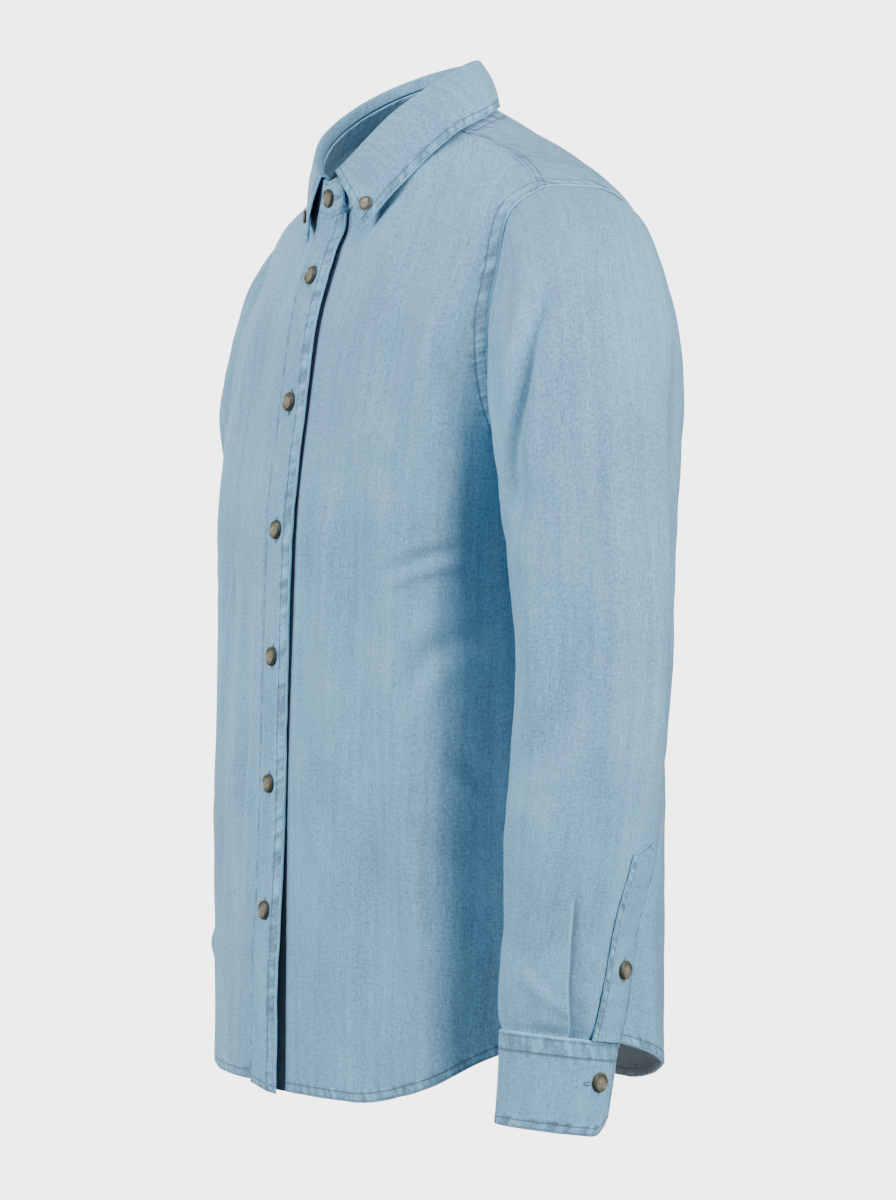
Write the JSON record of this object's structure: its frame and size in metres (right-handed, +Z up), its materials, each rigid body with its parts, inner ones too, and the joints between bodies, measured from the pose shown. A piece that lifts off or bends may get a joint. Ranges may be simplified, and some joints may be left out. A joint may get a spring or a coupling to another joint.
{
  "type": "denim shirt",
  "caption": "Light-wash denim button-down shirt with long sleeves, worn-out form, hollow and upright, collar buttoned at its points.",
  "frame": {"origin": "level with the points where the shoulder lines meet the neck, midway between them, inside the neck opening: the middle of the hollow by which a hanger or a neck form holds the shirt", "axes": "+Z up, from hem to collar; the front of the shirt faces -Y; the wearer's left is +X"},
  "size_m": [0.5593, 0.2483, 0.6876],
  "materials": {
    "denim": "washed twill",
    "button": "horn-like, satin"
  },
  "bodies": {
    "root": {"front_left": "denim", "front_right": "denim", "placket_top": "denim", "placket_under": "denim", "back": "denim", "yoke": "denim", "collar_stand": "denim", "collar_leaf": "denim", "sleeve_left": "denim", "sleeve_right": "denim", "cuff_left": "denim", "cuff_right": "denim", "sleeve_placket_left": "denim", "sleeve_placket_right": "denim", "button_front_1": "button", "button_front_2": "button", "button_front_3": "button", "button_front_4": "button", "button_front_5": "button", "button_front_6": "button", "button_stand": "button", "button_point_left": "button", "button_point_right": "button", "button_cuff_left": "button", "button_cuff_right": "button", "button_sleeve_left": "button", "button_sleeve_right": "button"}
  },
  "joints": []
}
